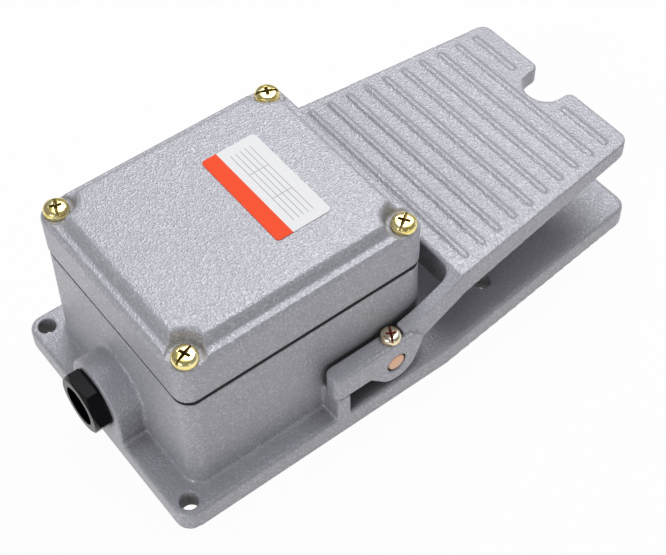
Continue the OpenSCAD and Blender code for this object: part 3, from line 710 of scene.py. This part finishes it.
def pale_floor(name):
    """Pale ground that shows white to the camera, in gloss and through glass, and keeps a faint shadow."""
    paint = Paint(bpy.data.materials.new(name))
    rays = paint.node("ShaderNodeLightPath").outputs
    to_camera, in_gloss, through = (
        Number(paint, rays[kind]) for kind in ("Is Camera Ray", "Is Glossy Ray", "Is Transmission Ray")
    )
    mottle = paint.noise(6.0).ramp(0.3, 0.7) * 0.2
    ground = paint.node("ShaderNodeBsdfDiffuse", {}, {"Color": paint.blend(mottle, (0.78,) * 3, (0.74,) * 3)})
    white = paint.node("ShaderNodeEmission", {}, {"Color": (1.0, 1.0, 1.0), "Strength": 1.0})
    share = to_camera.larger(in_gloss).larger(through) * WHITE_SHARE
    return paint.show(paint.node("ShaderNodeMixShader", {}, {0: share, 1: ground.outputs[0], 2: white.outputs[0]}))


def floor():
    """One large square just below the plate's underside."""
    z = cad_low[2] - FLOOR_CLEARANCE
    corners = [(x * FLOOR_HALF, y * FLOOR_HALF, z) for x, y in ((-1, -1), (1, -1), (1, 1), (-1, 1))]
    mesh = bpy.data.meshes.new("floor")
    mesh.from_pydata(corners, [], [(0, 1, 2, 3)])
    mesh.materials.append(pale_floor("pale_floor"))
    add_object("floor", mesh)


def sky():
    """White to the camera, and a dim even room light to everything else."""
    world = bpy.data.worlds.new("studio")
    bpy.context.scene.world = world
    paint = Paint(world, "ShaderNodeOutputWorld")
    to_camera = Number(paint, paint.node("ShaderNodeLightPath").outputs["Is Camera Ray"])
    strength = to_camera + (1 - to_camera) * ROOM_LIGHT
    paint.show(paint.node("ShaderNodeBackground", {}, {"Color": ROOM_TINT, "Strength": strength}))


def softbox(name, power, size, at):
    """A rectangular lamp of some watts that faces the object."""
    lamp = bpy.data.lights.new(name, "AREA")
    lamp.shape = "RECTANGLE"
    lamp.size, lamp.size_y = size
    lamp.energy = power
    piece = add_object(name, lamp)
    piece.location = at
    piece.rotation_euler = (Vector(at) - LAMP_TARGET).to_track_quat("Z", "Y").to_euler()


def camera():
    """Looks at a point on the object from an azimuth, elevation and distance, and leans by the roll."""
    flat = math.cos(CAMERA_ELEVATION)
    back = Vector((math.sin(CAMERA_AZIMUTH) * flat, -math.cos(CAMERA_AZIMUTH) * flat, math.sin(CAMERA_ELEVATION)))
    level = Vector((math.cos(CAMERA_AZIMUTH), math.sin(CAMERA_AZIMUTH), 0.0))
    upward = back.cross(level)
    right = level * math.cos(CAMERA_ROLL) + upward * math.sin(CAMERA_ROLL)
    up = upward * math.cos(CAMERA_ROLL) - level * math.sin(CAMERA_ROLL)
    lens = bpy.data.cameras.new("camera")
    lens.lens = CAMERA_LENS
    lens.sensor_width = CAMERA_SENSOR
    lens.clip_start = 0.02
    piece = add_object("camera", lens)
    turn = Matrix((right, up, back)).transposed()
    piece.matrix_world = Matrix.Translation(CAMERA_TARGET + back * CAMERA_DISTANCE) @ turn.to_4x4()
    bpy.context.scene.camera = piece


for node_name, finish in FINISHES.items():
    coat(nodes[node_name], finish)

casting("treadle", TREADLE, grain=0.42 * MM, passes=13, shape=arm_feet)
casting("base_casting", HOUSING, grain=0.5 * MM, passes=12)
casting("lid", HOUSING, grain=0.45 * MM, passes=10)
wide_gasket(proud=1.65 * MM)
lid_screws()
clamp_screws()
pivot_pin()
squeezed_spring()

floor()
sky()
softbox("key_softbox", power=10.05, size=(0.9, 0.9), at=(0.40, 0.35, 1.05))
softbox("left_fill", power=3.7, size=(0.4, 0.4), at=(-1.0, -0.25, 0.65))
softbox("front_fill", power=0.42, size=(0.3, 0.3), at=(-0.1, -1.15, 0.45))
softbox("right_fill", power=0.5, size=(0.8, 0.5), at=(1.15, -0.2, 0.45))
camera()
bpy.context.scene.view_settings.view_transform = "Standard"
